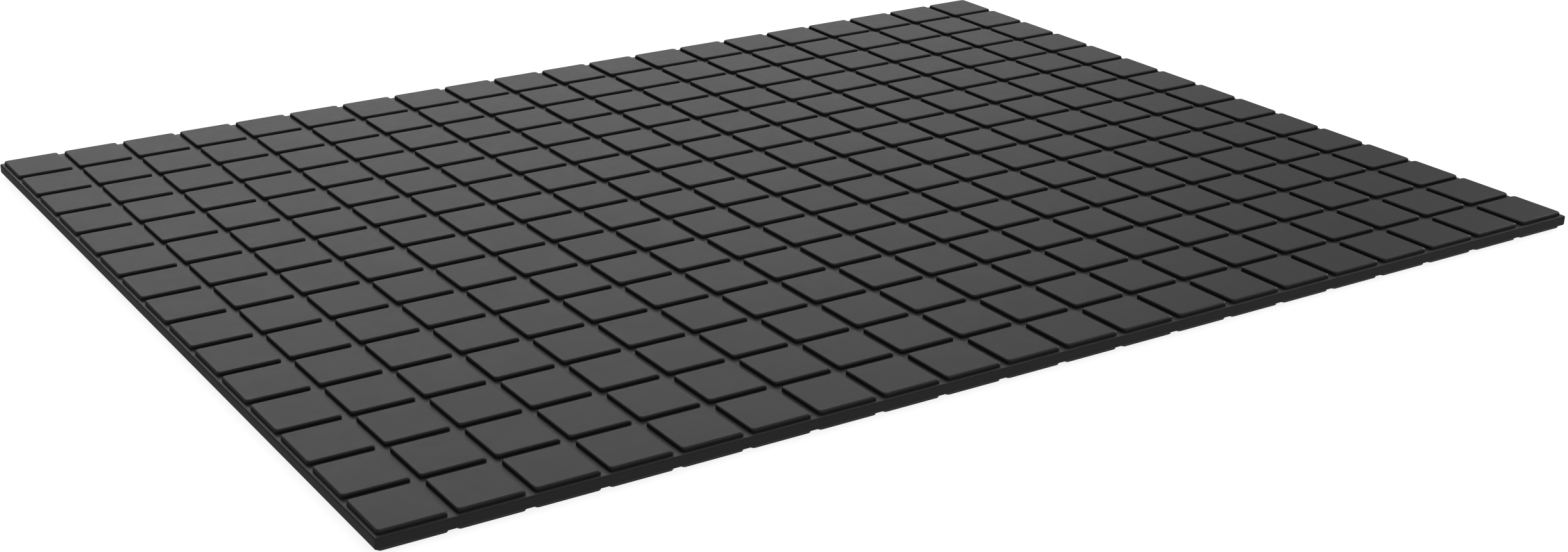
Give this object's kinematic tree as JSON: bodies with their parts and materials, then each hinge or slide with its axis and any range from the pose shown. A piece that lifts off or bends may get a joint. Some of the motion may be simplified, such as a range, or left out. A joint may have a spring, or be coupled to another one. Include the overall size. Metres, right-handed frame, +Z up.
{
  "type": "door mat",
  "caption": "Flat rubber door mat: a plain sheet with a grid of square raised pads on its top and on its underside.",
  "frame": {"origin": "on the surface that the mat lies on, under the middle of the mat", "axes": "+X along the mat's long side, +Y along its short side, +Z up through its thickness, out of the tread pads"},
  "size_m": [0.6, 0.45, 0.008],
  "materials": {
    "carrier_rubber": "matt",
    "tread_rubber": "matt",
    "grip_rubber": "matt"
  },
  "bodies": {
    "root": {"carrier_sheet": "carrier_rubber", "tread_row_01": "tread_rubber", "tread_row_02": "tread_rubber", "tread_row_03": "tread_rubber", "tread_row_04": "tread_rubber", "tread_row_05": "tread_rubber", "tread_row_06": "tread_rubber", "tread_row_07": "tread_rubber", "tread_row_08": "tread_rubber", "tread_row_09": "tread_rubber", "tread_row_10": "tread_rubber", "tread_row_11": "tread_rubber", "tread_row_12": "tread_rubber", "tread_row_13": "tread_rubber", "tread_row_14": "tread_rubber", "tread_row_15": "tread_rubber", "grip_row_01": "grip_rubber", "grip_row_02": "grip_rubber", "grip_row_03": "grip_rubber", "grip_row_04": "grip_rubber", "grip_row_05": "grip_rubber", "grip_row_06": "grip_rubber", "grip_row_07": "grip_rubber", "grip_row_08": "grip_rubber", "grip_row_09": "grip_rubber", "grip_row_10": "grip_rubber", "grip_row_11": "grip_rubber", "grip_row_12": "grip_rubber", "grip_row_13": "grip_rubber", "grip_row_14": "grip_rubber", "grip_row_15": "grip_rubber"}
  },
  "joints": []
}
